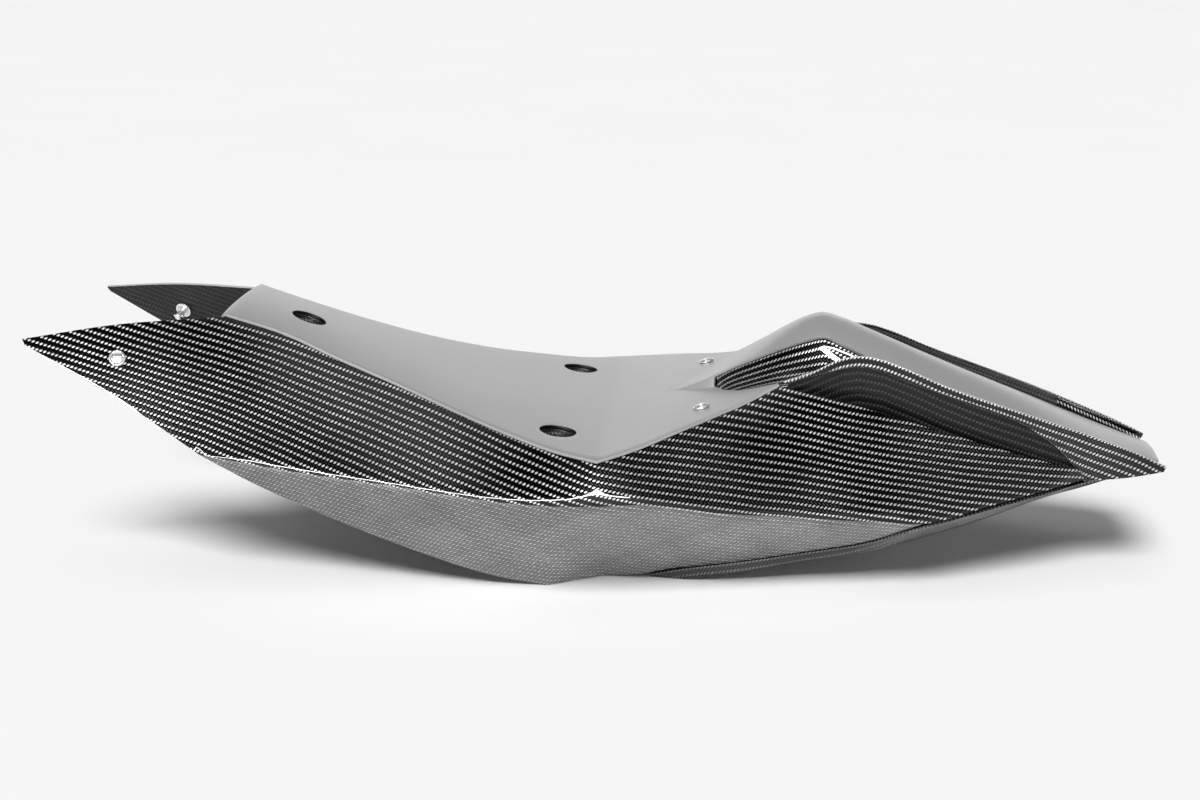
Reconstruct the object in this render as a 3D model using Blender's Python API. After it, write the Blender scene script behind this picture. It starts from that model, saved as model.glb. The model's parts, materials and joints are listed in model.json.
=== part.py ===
"""Carbon race tail (single-seat unit) of a motorcycle, built as separate bonded mouldings and hardware.

Frame: +X to the rear of the motorcycle, +Y to its right, +Z up, metres.
The piece stands as it rests on a bench: on the two skirt corners and the front of the undertray.
Left is the -Y side.  All tables below are in millimetres as (x, half width, z).
"""

import math

import bmesh
import bpy
from mathutils import Matrix, Vector

MM = 0.001
MIDDLE = Vector((1.5, 0, 0))   # brings the middle of the length to x = 0

# ---- driving dimensions (millimetres) ----
WALL = 2.0                 # laminate of the outer mouldings
LINER_WALL = 1.5           # laminate of the inner liners
FIN_WALL = 2.5             # laminate of the fins
GAP = 0.35                 # bond line between neighbouring pieces
DECK_DROP = 2.6            # side shell starts this far below the deck edge
DECK_CROWN = 2.0           # rise of the deck on the centre line
FRONT_LIP = 7.0            # depth of the lip turned down at the front of the deck

WELL_RADIUS = 13.75        # access wells in the deck
WELL_DEPTH = 17.0
CUP_FLANGE = 4.5           # width of the cup's flange under the deck
CUP_BOND = 0.9             # adhesive bead between the flange and the bowed deck
WELLS = {"front": (-233.0, 0.0), "left": (-28.5, -98.0), "right": (-28.5, 98.0)}

GROMMET_RADIUS = 6.15      # flange of the stud grommet
BARREL_RADIUS = 4.4
STUD_HEAD_RADIUS = 4.3
STUD_SHANK_RADIUS = 2.8
STUD_LENGTH = 15.0
STUD_HOLE_RADIUS = 4.75
WING_SEAT_LIFT = 0.35      # keeps the flange clear of the bowed wing
WING_STUD_DROP = 0.45      # place of the wing stud between top edge (0) and lower edge (1)
DECK_STUD = (76.0, 73.0)

# ---- rails ----
# edge of the seat deck, from the front corner to the apex at the start of the fin
DECK_EDGE = [
    (-284, 57, 193), (-240, 56, 179), (-197, 67, 163), (-144, 83.5, 145.5), (-104, 102.5, 133.5),
    (-63, 125.5, 123.5), (-24, 146, 116), (5, 161, 114), (32, 145, 119.5), (58, 124, 126),
    (85, 101, 132.5), (110, 84, 140), (134, 70, 150.3),
]
VALLEY = 7                 # station of the sharp low point of the deck edge

# top edge of the side shell in front of the deck (the wing) and behind the apex (below the duct)
WING_TOP = [(-426, 101.5, 181), (-362, 80.5, 188.3)]
DUCT_SILL = [(192, 79, 135.6), (252, 79, 118.2), (298, 74, 103.7), (338, 65, 91), (357, 60.2, 85.3)]

# widest line of the side shell, where the panel folds under into the skirt
FOLD = [
    (-424, 103, 177), (-354, 104, 136.3), (-292, 117, 99), (-245, 125, 93), (-197, 135, 89.5),
    (-145, 146, 87), (-104, 155, 84), (-65, 162.5, 81.5), (-30, 168, 81), (5, 171, 82),
    (36, 166, 82.5), (62, 158, 78.5), (89, 150, 73), (120, 140, 68.5), (149, 130, 64.5),
    (198, 119, 59), (239, 108, 56), (290, 92, 66.4), (335, 73.5, 74.5), (361, 59.6, 78.2),
]
SKIRT_FIRST, SKIRT_LAST = 2, 16
# lower edge of the skirt between those two stations
SKIRT_FOOT = [
    (-258, 113, 79), (-210, 110, 56), (-155, 110, 34), (-110, 109, 18), (-72, 107, 6.5),
    (-35, 104, 0), (3, 80, 0.6), (30, 83, 3), (56, 86, 9.5), (82, 88, 13.5), (115, 88, 18.5),
    (147, 88, 24.5), (200, 91, 36),
]
SKIRT_CORNER = 6           # station of the sharp corner the piece stands on, counted in the skirt

# hump: centre ridge, shoulder and the foot of the two facets at its nose
RIDGE = [
    (44, 0, 122.3), (64, 0, 131.5), (84, 0, 142), (95, 0, 149.5), (113, 0, 160.5), (136, 0, 175.8),
    (156, 0, 186), (166, 0, 188.2), (181, 0, 184.8), (204, 0, 175.5), (255, 0, 153.7),
    (325, 0, 124.8), (379, 0, 101.6), (421, 0, 86.6),
]
SHOULDER = [
    (44, 0.9, 122.1), (64, 9, 131), (84, 17.5, 142.6), (95, 20.5, 149.1), (113, 26, 158.2),
    (136, 33, 168.9), (156, 38, 176.8), (166, 40, 179.4), (181, 42, 173.4), (204, 43, 162.5),
    (255, 42, 143.5), (325, 38, 119.5), (379, 32, 99.5), (421, 28, 84.5),
]
NOSE_FOOT = [(44, 2.4, 121.8), (64, 12, 127), (84, 21.8, 132.8)]

# scoop and channel beside the hump: foot of the inner wall, and outer edge
CHANNEL_FOOT = [
    (86.8, 19.8, 137.2), (94, 28, 140), (110, 38, 143), (132, 46, 146.5), (156, 48.5, 149),
    (168, 48.5, 149), (181, 48, 147.5), (204, 48, 146), (255, 47.5, 129), (325, 43, 106),
    (379, 36.5, 90), (412, 33, 83.4),
]
CHANNEL_EDGE = [
    (86.6, 22.4, 133.8), (92, 36, 134.4), (105, 50, 138.4), (121, 59.5, 143.6), (145, 61, 146.8),
    (162, 57.2, 147.6), (181, 54.4, 146.8), (204, 54.6, 145.3), (255, 58.8, 128.5), (325, 54.4, 105.5),
    (379, 46.8, 89.6), (412, 43, 83),
]

FIN_TOP = [
    (136, 69.5, 151.3), (158, 64, 157.7), (180, 60.5, 167.3), (191, 60, 169.1), (206, 61, 167.6),
    (222, 63, 162.5), (252, 65, 150.1), (313, 62, 128.8), (336, 58.8, 121), (352, 56.3, 115.3),
    (372, 53.4, 107.6), (399, 50, 96.8), (423, 47.5, 85.8),
]
FIN_FOOT = [
    (138, 69.2, 149.7), (158, 64.3, 154.4), (180, 61, 159.8), (191, 60.5, 161.2), (206, 61.3, 159),
    (222, 63.2, 152.7), (253, 65, 143.1), (316, 61.5, 118.5), (337, 58.8, 104.2), (350, 56.8, 91.5),
    (362, 54.8, 75.2), (397, 50.5, 77.7), (421, 47.6, 81.5),
]

# undertray: corner of the floor, and top of its wall behind the side shell
TRAY_CORNER = [
    (38, 79.5, 0.2), (66, 84.5, 1.2), (106, 86.5, 8.2), (151, 85.5, 17.6), (204, 84, 26.5),
    (244, 82, 37.8), (288, 74, 50.7), (331, 62.5, 64), (364, 50.4, 70.4), (383, 45.5, 75.2), (408, 42.5, 78.6),
]
TRAY_RIM = [
    (38, 80.9, 2.4), (66, 86.2, 9.4), (106, 87.3, 15.8), (151, 87, 23.8), (204, 91.2, 35.6),
    (240, 104, 51.2), (289, 87.6, 61.4), (333, 70, 69.6), (362, 51, 73), (383, 46.4, 77.4), (408, 43.2, 80.6),
]

for old in list(bpy.data.objects):
    bpy.data.objects.remove(old, do_unlink=True)

scene = bpy.context.scene.collection


def material(name, colour, roughness, metallic):
    m = bpy.data.materials.new(name)
    m.use_nodes = True
    shader = m.node_tree.nodes["Principled BSDF"]
    shader.inputs["Base Color"].default_value = (*colour, 1.0)
    shader.inputs["Roughness"].default_value = roughness
    shader.inputs["Metallic"].default_value = metallic
    return m


PAINT = material("satin_grey_paint", (0.50, 0.50, 0.50), 0.42, 0.0)
CARBON = material("gloss_carbon", (0.035, 0.035, 0.037), 0.18, 0.0)
INNER_CARBON = material("raw_carbon", (0.05, 0.05, 0.052), 0.5, 0.0)
RUBBER = material("black_rubber", (0.03, 0.03, 0.03), 0.8, 0.0)
STEEL = material("polished_steel", (0.75, 0.75, 0.76), 0.22, 1.0)
ALLOY = material("plain_aluminium", (0.66, 0.67, 0.68), 0.35, 1.0)


def smooth_rail(points, steps, sharp=()):
    """Points along a smooth curve through the control points, with corners at the sharp ones."""
    pts = [Vector(p) for p in points]
    last = len(pts) - 1
    chord = [(pts[i + 1] - pts[i]).length for i in range(last)]

    def tangent(i, ahead):
        before = (pts[i] - pts[i - 1]) / chord[i - 1] if i > 0 else None
        after = (pts[i + 1] - pts[i]) / chord[i] if i < last else None
        if before is None:
            return after
        if after is None:
            return before
        if i in sharp:
            return after if ahead else before
        return (before * chord[i] + after * chord[i - 1]) / (chord[i] + chord[i - 1])

    out = []
    for i in range(last):
        start, end = tangent(i, True) * chord[i], tangent(i + 1, False) * chord[i]
        for k in range(steps[i]):
            t = k / steps[i]
            out.append(
                pts[i] * (2 * t**3 - 3 * t**2 + 1)
                + start * (t**3 - 2 * t**2 + t)
                + pts[i + 1] * (3 * t**2 - 2 * t**3)
                + end * (t**3 - t**2)
            )
    out.append(pts[last])
    return out


def even_steps(points, length):
    """Number of pieces in each stretch of a rail so that none is longer than length."""
    return [
        max(1, math.ceil((Vector(b) - Vector(a)).length / length)) for a, b in zip(points, points[1:])
    ]


def between(rail_a, rail_b, rows, bulge=0.0):
    """Rows of points from one rail to another, both included, bowed out of the plane by bulge."""
    count = len(rail_a)
    grid = []
    for r in range(rows + 1):
        v = r / rows
        row = []
        for i in range(count):
            p = rail_a[i].lerp(rail_b[i], v)
            if bulge:
                along = rail_a[min(i + 1, count - 1)] - rail_a[max(i - 1, 0)]
                normal = along.cross(rail_b[i] - rail_a[i])
                span = (rail_b[i] - rail_a[i]).length
                if normal.length > 1e-6 and span > 1e-6:
                    p = p + normal.normalized() * bulge * span * 4 * v * (1 - v)
            row.append(p)
        grid.append(row)
    return grid


def stretch(rail, x):
    """Half width and height of a smooth rail at the given x."""
    for a, b in zip(rail, rail[1:]):
        if a.x <= x <= b.x:
            t = (x - a.x) / (b.x - a.x)
            return a.lerp(b, t)
    raise ValueError("x outside the rail")


def surface(patches, side=1, mirrored=False):
    """One mesh from grids of (x, half width, z) points; side -1 is the left of the motorcycle."""
    bm = bmesh.new()
    index = {}

    def vertex(p, sign):
        key = (round(p.x, 3), round(p.y * sign, 3), round(p.z, 3))
        if key not in index:
            index[key] = bm.verts.new((Vector((p.x, p.y * sign, p.z)) + MIDDLE) * MM)
        return index[key]

    for sign in ((-1, 1) if mirrored else (side,)):
        for grid in patches:
            for upper, lower in zip(grid, grid[1:]):
                for i in range(len(upper) - 1):
                    ring = [upper[i], lower[i], lower[i + 1], upper[i + 1]]
                    if sign > 0:
                        ring.reverse()
                    corners = []
                    for p in ring:
                        v = vertex(p, sign)
                        if v not in corners:
                            corners.append(v)
                    if len(corners) >= 3:
                        bm.faces.new(corners)
    return bm


def place(name, bm, mat, smooth=True):
    mesh = bpy.data.meshes.new(name)
    bm.to_mesh(mesh)
    bm.free()
    mesh.materials.append(mat)
    for polygon in mesh.polygons:
        polygon.use_smooth = smooth
    ob = bpy.data.objects.new(name, mesh)
    scene.objects.link(ob)
    return ob


def laminate(name, bm, thickness, mat):
    """A moulding: the outer surface thickened inwards."""
    ob = place(name, bm, mat)
    solid = ob.modifiers.new("laminate", "SOLIDIFY")
    solid.thickness = thickness * MM
    solid.offset = -1.0
    solid.use_even_offset = True
    return ob


def axes(origin, normal):
    """Matrix whose local Z is the given normal, and whose local X is as level as it can be."""
    z = normal.normalized()
    x = Vector((0, 0, 1)).cross(z)
    if x.length < 0.2:
        x = Vector((0, 1, 0)).cross(z)
    x.normalize()
    matrix = Matrix((x, z.cross(x), z)).transposed().to_4x4()
    matrix.translation = (origin + MIDDLE) * MM
    return matrix


def lathe(name, profile, segments, mat, matrix):
    """A turned piece: closed profile of (radius, height) in millimetres about the local Z axis."""
    bm = bmesh.new()
    rings = []
    for r, z in profile:
        if r == 0:
            rings.append([bm.verts.new((0, 0, z * MM))])
            continue
        ring = []
        for k in range(segments):
            a = 2 * math.pi * k / segments
            ring.append(bm.verts.new((r * MM * math.cos(a), r * MM * math.sin(a), z * MM)))
        rings.append(ring)
    pairs = list(zip(rings, rings[1:]))
    if profile[0][0] != 0:
        pairs.append((rings[-1], rings[0]))
    for a, b in pairs:
        for k in range(segments):
            n = (k + 1) % segments
            corners = [a[k % len(a)], a[n % len(a)], b[n % len(b)], b[k % len(b)]]
            ring = []
            for v in corners:
                if v not in ring:
                    ring.append(v)
            bm.faces.new(ring)
    bmesh.ops.recalc_face_normals(bm, faces=bm.faces[:])
    ob = place(name, bm, mat)
    ob.data.set_sharp_from_angle(angle=math.radians(35))
    ob.matrix_world = matrix
    return ob


def cutter(name, bm, matrix):
    ob = place(name, bm, INNER_CARBON, smooth=False)
    ob.matrix_world = matrix
    ob.hide_render = True
    ob.display_type = "WIRE"
    return ob


def round_cutter(name, radius, depth, matrix, segments=28):
    bm = bmesh.new()
    bmesh.ops.create_cone(
        bm, cap_ends=True, segments=segments, radius1=radius * MM, radius2=radius * MM, depth=depth * MM
    )
    return cutter(name, bm, matrix)


def cut(target, tool):
    hole = target.modifiers.new(tool.name, "BOOLEAN")
    hole.operation = "DIFFERENCE"
    hole.object = tool


# ---- sampled rails ----
side_top = (
    WING_TOP
    + [(x, h, z - DECK_DROP) for x, h, z in DECK_EDGE]
    + DUCT_SILL
)
side_steps = even_steps(side_top, 26)
apex_station = len(WING_TOP) + len(DECK_EDGE) - 1
valley_station = len(WING_TOP) + VALLEY
top_rail = smooth_rail(side_top, side_steps, sharp=(2, valley_station, apex_station))
fold_rail = smooth_rail(FOLD, side_steps, sharp=(2,))
skirt_points = [FOLD[SKIRT_FIRST]] + SKIRT_FOOT + [FOLD[SKIRT_LAST]]
skirt_steps = side_steps[SKIRT_FIRST:SKIRT_LAST]
foot_rail = smooth_rail(skirt_points, skirt_steps, sharp=(SKIRT_CORNER, SKIRT_CORNER + 1))
skirt_start = sum(side_steps[:SKIRT_FIRST])
skirt_end = sum(side_steps[:SKIRT_LAST])
fold_over_skirt = fold_rail[skirt_start:skirt_end + 1]

edge_steps = side_steps[len(WING_TOP):len(WING_TOP) + len(DECK_EDGE) - 1]
edge_rail = smooth_rail(DECK_EDGE, edge_steps, sharp=(VALLEY,))


def deck_point(x, y):
    """Upper surface of the seat deck."""
    edge = stretch(edge_rail, x)
    crown = DECK_CROWN * (1 - (y / edge.y) ** 2)
    return Vector((x, y, edge.z + crown))


def deck_frame(x, y, lift=0.0):
    step = 2.0
    along = deck_point(x + step, y) - deck_point(x - step, y)
    across = deck_point(x, y + step) - deck_point(x, y - step)
    normal = along.cross(across).normalized()
    return axes(deck_point(x, y) + normal * lift, normal)


# ---- seat deck ----
NOTCH = [
    (39, 0), (44, 4.2), (54, 9.8), (64, 14), (84, 23.8), (91.5, 37.6), (105, 51.6), (121, 61), (132.5, 68.2),
]


def notch_half_width(x):
    """Half width of the opening the hump and the scoops leave in the deck."""
    if x <= NOTCH[0][0]:
        return 0.0
    for (xa, ha), (xb, hb) in zip(NOTCH, NOTCH[1:]):
        if x <= xb:
            return ha + (hb - ha) * (x - xa) / (xb - xa)
    return NOTCH[-1][1]


deck_stations = sorted(
    {round(p.x, 3) for p in edge_rail if p.x < NOTCH[0][0] - 3} | {float(x) for x, h in NOTCH}
    | {round((a[0] + b[0]) / 2, 3) for a, b in zip(NOTCH, NOTCH[1:])}
)
DECK_ROWS = 7
deck_grid = []
for r in range(DECK_ROWS + 1):
    row = []
    for x in deck_stations:
        edge = stretch(edge_rail, x)
        inner = notch_half_width(x)
        y = inner + (edge.y - inner) * r / DECK_ROWS
        row.append(deck_point(x, y))
    deck_grid.append(row)
# front lip: steps forward and down, drawn in a little so that it clears the wings
LIP = ((-4.4, -FRONT_LIP, 0.93), (-4.0, -3.8, 0.945), (-2.5, -1.2, 0.97))
for row in deck_grid:
    start = row[0]
    row[:0] = [Vector((start.x + dx, start.y * narrow, start.z + dz)) for dx, dz, narrow in LIP]
deck = laminate("seat_deck", surface([deck_grid], mirrored=True), WALL, PAINT)

for key, (x, y) in WELLS.items():
    cut(deck, round_cutter("cut_well_" + key, WELL_RADIUS, 30, deck_frame(x, y)))

# ---- side shells with the front wings ----
panel_grid = between(top_rail, fold_rail, 6, bulge=0.014)
skirt_grid = between(fold_over_skirt, foot_rail, 5)
sides = {}
for key, sign in (("left", -1), ("right", 1)):
    sides[key] = laminate(
        "side_shell_" + key, surface([panel_grid, skirt_grid], side=sign), WALL, CARBON
    )

# ---- hump cover ----
hump_steps = even_steps(RIDGE, 24)
ridge_rail = smooth_rail(RIDGE, hump_steps)
shoulder_rail = smooth_rail(SHOULDER, hump_steps)
nose_count = sum(hump_steps[:2]) + 1
nose_foot_rail = smooth_rail(NOSE_FOOT, hump_steps[:2])
HUMP_ROWS = 5
hump_grid = []
for r in range(HUMP_ROWS + 1):
    v = r / HUMP_ROWS
    hump_grid.append(
        [
            Vector((a.x + (b.x - a.x) * v, b.y * v, a.z + (b.z - a.z) * v**1.7))
            for a, b in zip(ridge_rail, shoulder_rail)
        ]
    )
nose_grid = between(shoulder_rail[:nose_count], nose_foot_rail, 2)
laminate("hump_cover", surface([hump_grid, nose_grid], mirrored=True), WALL, PAINT)

# ---- scoop and channel liners, fins, duct liners ----
shoulder_behind = [Vector((86.2, 17.8, 140.8))] + [
    Vector((x, h, z - DECK_DROP)) for x, h, z in SHOULDER[3:]
]
channel_steps = even_steps(CHANNEL_FOOT, 24)
wall_rail = smooth_rail(shoulder_behind, channel_steps)
foot_of_wall = smooth_rail(CHANNEL_FOOT, channel_steps)
edge_of_floor = smooth_rail(CHANNEL_EDGE, channel_steps)
channel_grid = between(wall_rail, foot_of_wall, 3)[:-1] + between(foot_of_wall, edge_of_floor, 3)

fin_steps = even_steps(FIN_TOP, 20)
fin_top_rail = smooth_rail(FIN_TOP, fin_steps)
fin_foot_rail = smooth_rail(FIN_FOOT, fin_steps, sharp=(10,))
fin_grid = between(fin_top_rail, fin_foot_rail, 2)

DUCT_STATIONS = (146, 157, 168, 180, 192, 210, 232, 254, 277, 300, 320, 336, 348, 355)
duct_wall_top, duct_wall_foot, duct_floor_edge = [], [], []
for x in DUCT_STATIONS:
    fin = stretch(fin_top_rail, x)
    sill = stretch(top_rail, x)
    wall = fin.y - FIN_WALL - GAP - 0.4
    duct_wall_top.append(Vector((x, wall, fin.z - 1.2)))
    duct_wall_foot.append(Vector((x, wall, sill.z - 10)))
    duct_floor_edge.append(Vector((x, max(sill.y - 3.2, wall + 2.5), sill.z - 8)))
duct_grid = (
    between(duct_wall_top, duct_wall_foot, 4)[:-1] + between(duct_wall_foot, duct_floor_edge, 2)
)
for key, sign in (("left", -1), ("right", 1)):
    laminate("channel_liner_" + key, surface([channel_grid], side=sign), LINER_WALL, CARBON)
    laminate("fin_" + key, surface([fin_grid], side=sign), FIN_WALL, CARBON)
    laminate("duct_liner_" + key, surface([duct_grid], side=sign), LINER_WALL, INNER_CARBON)

# ---- undertray ----
tray_steps = even_steps(TRAY_CORNER, 24)
tray_corner = smooth_rail(TRAY_CORNER, tray_steps)
tray_rim = smooth_rail(TRAY_RIM, tray_steps)
tray_middle = [Vector((p.x, 0, p.z)) for p in tray_corner]
tray_grid = between(tray_rim, tray_corner, 2)[:-1] + between(tray_corner, tray_middle, 5)
laminate("undertray", surface([tray_grid], mirrored=True), WALL, CARBON)

# ---- access wells: cup, rubber grommet and sleeve ----
cup_top = -WALL - CUP_BOND
cup_floor = cup_top - WELL_DEPTH
CUP = [
    (WELL_RADIUS, cup_top), (WELL_RADIUS, cup_floor + 2), (8.3, cup_floor + 2), (8.3, cup_floor),
    (WELL_RADIUS + 2, cup_floor), (WELL_RADIUS + 2, cup_top - 2), (WELL_RADIUS + CUP_FLANGE, cup_top - 2),
    (WELL_RADIUS + CUP_FLANGE, cup_top),
]
RUBBER_RING = [
    (5.3, cup_floor + 4.2), (5.3, cup_floor - 2.2), (10.6, cup_floor - 2.2), (10.6, cup_floor - 0.3),
    (8.0, cup_floor - 0.3), (8.0, cup_floor + 2.3), (10.6, cup_floor + 2.3), (10.6, cup_floor + 4.2),
]
SLEEVE = [
    (3.2, cup_floor + 6.3), (3.2, cup_floor - 3.2), (5.0, cup_floor - 3.2), (5.0, cup_floor + 4.5),
    (8.2, cup_floor + 4.5), (8.2, cup_floor + 6.3),
]
for key, (x, y) in WELLS.items():
    seat = deck_frame(x, y)
    lathe("well_cup_" + key, CUP, 28, INNER_CARBON, seat)
    lathe("well_grommet_" + key, RUBBER_RING, 24, RUBBER, seat)
    lathe("well_sleeve_" + key, SLEEVE, 24, ALLOY, seat)

# ---- quarter-turn studs with their grommets and retaining rings ----
GROMMET = [
    (STUD_SHANK_RADIUS + 0.35, 0.55), (STUD_SHANK_RADIUS + 0.35, -4.6), (BARREL_RADIUS, -4.6),
    (BARREL_RADIUS, GAP), (GROMMET_RADIUS, GAP), (GROMMET_RADIUS, 1.1), (5.4, 1.75), (4.7, 1.75),
    (4.7, 0.55),
]
RETAINER = [(4.7, -3.2), (4.7, -4.6), (6.6, -4.6), (6.6, -3.2)]
STUD = [
    (0, 2.3), (STUD_HEAD_RADIUS - 0.6, 2.3), (STUD_HEAD_RADIUS, 1.9), (STUD_HEAD_RADIUS, 0.9),
    (STUD_SHANK_RADIUS, 0.9), (STUD_SHANK_RADIUS, -STUD_LENGTH + 0.8),
    (STUD_SHANK_RADIUS - 0.8, -STUD_LENGTH), (0, -STUD_LENGTH),
]
PIN_HEIGHT = -STUD_LENGTH + 3.2


def box(size):
    bm = bmesh.new()
    bmesh.ops.create_cube(bm, size=1.0)
    bmesh.ops.scale(bm, vec=Vector(size) * MM, verts=bm.verts)
    return bm


def stud_set(place_name, seat):
    lathe("stud_grommet_" + place_name, GROMMET, 24, STEEL, seat)
    lathe("stud_retainer_" + place_name, RETAINER, 24, STEEL, seat)
    stud = lathe("stud_" + place_name, STUD, 20, STEEL, seat)
    slot = cutter("cut_slot_" + place_name, box((7.0, 1.5, 2.0)), seat @ Matrix.Translation((0, 0, 2.3 * MM)))
    cut(stud, slot)
    bm = bmesh.new()
    bmesh.ops.create_cone(bm, cap_ends=True, segments=12, radius1=MM, radius2=MM, depth=9 * MM)
    turn = Matrix.Rotation(math.pi / 2, 4, "Y")
    lift = Matrix.Translation((0, 0, PIN_HEIGHT * MM))
    pin = cutter("pin_" + place_name, bm, seat @ lift @ turn)
    join = stud.modifiers.new("cross pin", "BOOLEAN")
    join.operation = "UNION"
    join.object = pin


def wing_seat(sign):
    start = sum(side_steps[:1])
    top, low = top_rail[start], fold_rail[start]
    along = top_rail[start + 1] - top_rail[start - 1]
    point = panel_grid[0][start].lerp(panel_grid[-1][start], WING_STUD_DROP)
    normal = along.cross(low - top).normalized()
    if normal.y < 0:
        normal.negate()
    bow = (panel_grid[3][start] - panel_grid[0][start].lerp(panel_grid[-1][start], 0.5)).length
    point = point + normal * (bow + WING_SEAT_LIFT)
    return axes(Vector((point.x, point.y * sign, point.z)), Vector((normal.x, normal.y * sign, normal.z)))


for key, sign in (("left", -1), ("right", 1)):
    seat = wing_seat(sign)
    cut(sides[key], round_cutter("cut_wing_" + key, STUD_HOLE_RADIUS, 20, seat, 24))
    stud_set("wing_" + key, seat)
    seat = deck_frame(DECK_STUD[0], DECK_STUD[1] * sign)
    cut(deck, round_cutter("cut_stud_" + key, STUD_HOLE_RADIUS, 20, seat, 24))
    stud_set("deck_" + key, seat)
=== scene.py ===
"""Looks of the carbon race tail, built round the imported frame: row frame, metres, +X to the rear, left is -Y.

Rails are in millimetres as (x, half width, z), the same control points as the part's own.
"""

import json
import math

import bmesh
import bpy
from mathutils import Matrix, Vector


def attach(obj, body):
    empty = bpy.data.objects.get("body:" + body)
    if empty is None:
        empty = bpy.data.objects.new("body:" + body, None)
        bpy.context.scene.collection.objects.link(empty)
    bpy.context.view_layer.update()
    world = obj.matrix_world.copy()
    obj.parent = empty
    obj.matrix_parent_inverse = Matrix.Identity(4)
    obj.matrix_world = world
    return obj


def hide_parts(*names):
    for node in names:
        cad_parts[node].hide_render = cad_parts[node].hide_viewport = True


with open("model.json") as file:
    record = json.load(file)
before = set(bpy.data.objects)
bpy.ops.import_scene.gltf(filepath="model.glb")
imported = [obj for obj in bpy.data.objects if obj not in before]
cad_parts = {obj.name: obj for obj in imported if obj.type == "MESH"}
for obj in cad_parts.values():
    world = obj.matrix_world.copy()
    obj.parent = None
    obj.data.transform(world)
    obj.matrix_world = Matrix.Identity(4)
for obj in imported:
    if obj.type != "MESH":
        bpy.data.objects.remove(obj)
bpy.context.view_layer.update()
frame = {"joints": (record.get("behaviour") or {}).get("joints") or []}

MM = 0.001
MIDDLE = Vector((1.5, 0, 0))        # brings the middle of the length to x = 0

# ---- sizes, millimetres ----
WALL, LINER_WALL, FIN_WALL, GAP = 2.0, 1.5, 2.5, 0.35
DECK_DROP = 2.6                     # the side shell starts this far below the deck's edge
DECK_CROWN, FRONT_LIP = 2.0, 7.0    # rise of the deck's middle, and depth of its rolled front
FOLD_ROUND = 9.0                    # distance over which the panel turns into the skirt
EDGE_ROUND = 0.55                   # rounding of the trimmed laminate edges
STEP = 7.0                          # longest mesh edge along a rail
SKIRT_TURN = 4                      # row of the rounded fold below which the cloth is lightened to paint the floor's reflection
TINY = 1e-6                         # anything shorter counts as nothing
TOW = 2.0                           # width of one tow of the cloth
PANEL_LAY, SKIRT_LAY = 1.22, 1.4    # cloth length for each millimetre of height on the panel and the skirt
ROW_FALL, ROW_BEND = 0.285, 0.00015 # how the rows of the cloth fall to the rear, and how that fall bends
PANEL_BULGE = 0.014                 # rise of the panel's bow, as a share of its height
MOST_OF_SIDE = 0.45                 # a rounding takes no more than this share of the side next to it
WELL_RADIUS, WELL_DEPTH, CUP_FLANGE, CUP_BOND = 13.75, 17.0, 4.5, 0.9
WELLS = {"front": (-233.0, 0.0), "left": (-28.5, -98.0), "right": (-28.5, 98.0)}
CUP_WALL, SLEEVE_HOLE_RADIUS = 2.0, 8.3
GROMMET_RADIUS, BARREL_RADIUS = 6.15, 4.4
STUD_HEAD_RADIUS, STUD_SHANK_RADIUS, STUD_LENGTH, STUD_HOLE_RADIUS = 4.3, 2.8, 15.0, 4.75
SLOT_SIZE, SLOT_HEIGHT = (7.0, 1.5, 2.0), 2.3
PIN_RADIUS, PIN_LENGTH, PIN_ABOVE_TIP = 1.0, 9.0, 3.2
DRILL_DEPTH, WELL_DRILL_DEPTH = 20.0, 30.0

# ---- rails ----
DECK_EDGE = [
    (-284, 57, 193), (-240, 56, 179), (-197, 67, 163), (-144, 83.5, 145.5), (-104, 102.5, 133.5),
    (-63, 125.5, 123.5), (-24, 146, 116), (5, 161, 114), (32, 145, 119.5), (58, 124, 126),
    (85, 101, 132.5), (110, 84, 140), (134, 70, 150.3),
]
VALLEY = 7
WING_TOP = [(-426, 101.5, 181), (-362, 80.5, 188.3)]
DUCT_SILL = [(192, 79, 135.6), (252, 79, 118.2), (298, 74, 103.7), (338, 65, 91), (357, 60.2, 85.3)]
FOLD = [
    (-424, 103, 177), (-354, 104, 136.3), (-292, 117, 99), (-245, 125, 93), (-197, 135, 89.5),
    (-145, 146, 87), (-104, 155, 84), (-65, 162.5, 81.5), (-30, 168, 81), (5, 171, 82),
    (36, 166, 82.5), (62, 158, 78.5), (89, 150, 73), (120, 140, 68.5), (149, 130, 64.5),
    (198, 119, 59), (239, 108, 56), (290, 92, 66.4), (335, 73.5, 74.5), (361, 59.6, 78.2),
]
SKIRT_FIRST, SKIRT_LAST = 2, 16
SKIRT_FOOT = [
    (-258, 113, 79), (-210, 110, 56), (-155, 110, 34), (-110, 109, 18), (-72, 107, 6.5),
    (-35, 104, 0), (3, 80, 0.6), (30, 83, 3), (56, 86, 9.5), (82, 88, 13.5), (115, 88, 18.5),
    (147, 88, 24.5), (200, 91, 36),
]
SKIRT_CORNER = 6
RIDGE = [
    (44, 0, 122.3), (64, 0, 131.5), (84, 0, 142), (95, 0, 149.5), (113, 0, 160.5), (136, 0, 175.8),
    (156, 0, 186), (166, 0, 188.2), (181, 0, 184.8), (204, 0, 175.5), (255, 0, 153.7),
    (325, 0, 124.8), (379, 0, 101.6), (421, 0, 86.6),
]
SHOULDER = [
    (44, 0.9, 122.1), (64, 9, 131), (84, 17.5, 142.6), (95, 20.5, 149.1), (113, 26, 158.2),
    (136, 33, 168.9), (156, 38, 176.8), (166, 40, 179.4), (181, 42, 173.4), (204, 43, 162.5),
    (255, 42, 143.5), (325, 38, 119.5), (379, 32, 99.5), (421, 28, 84.5),
]
NOSE_FOOT = [(44, 2.4, 121.8), (64, 12, 127), (84, 21.8, 132.8)]
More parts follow.
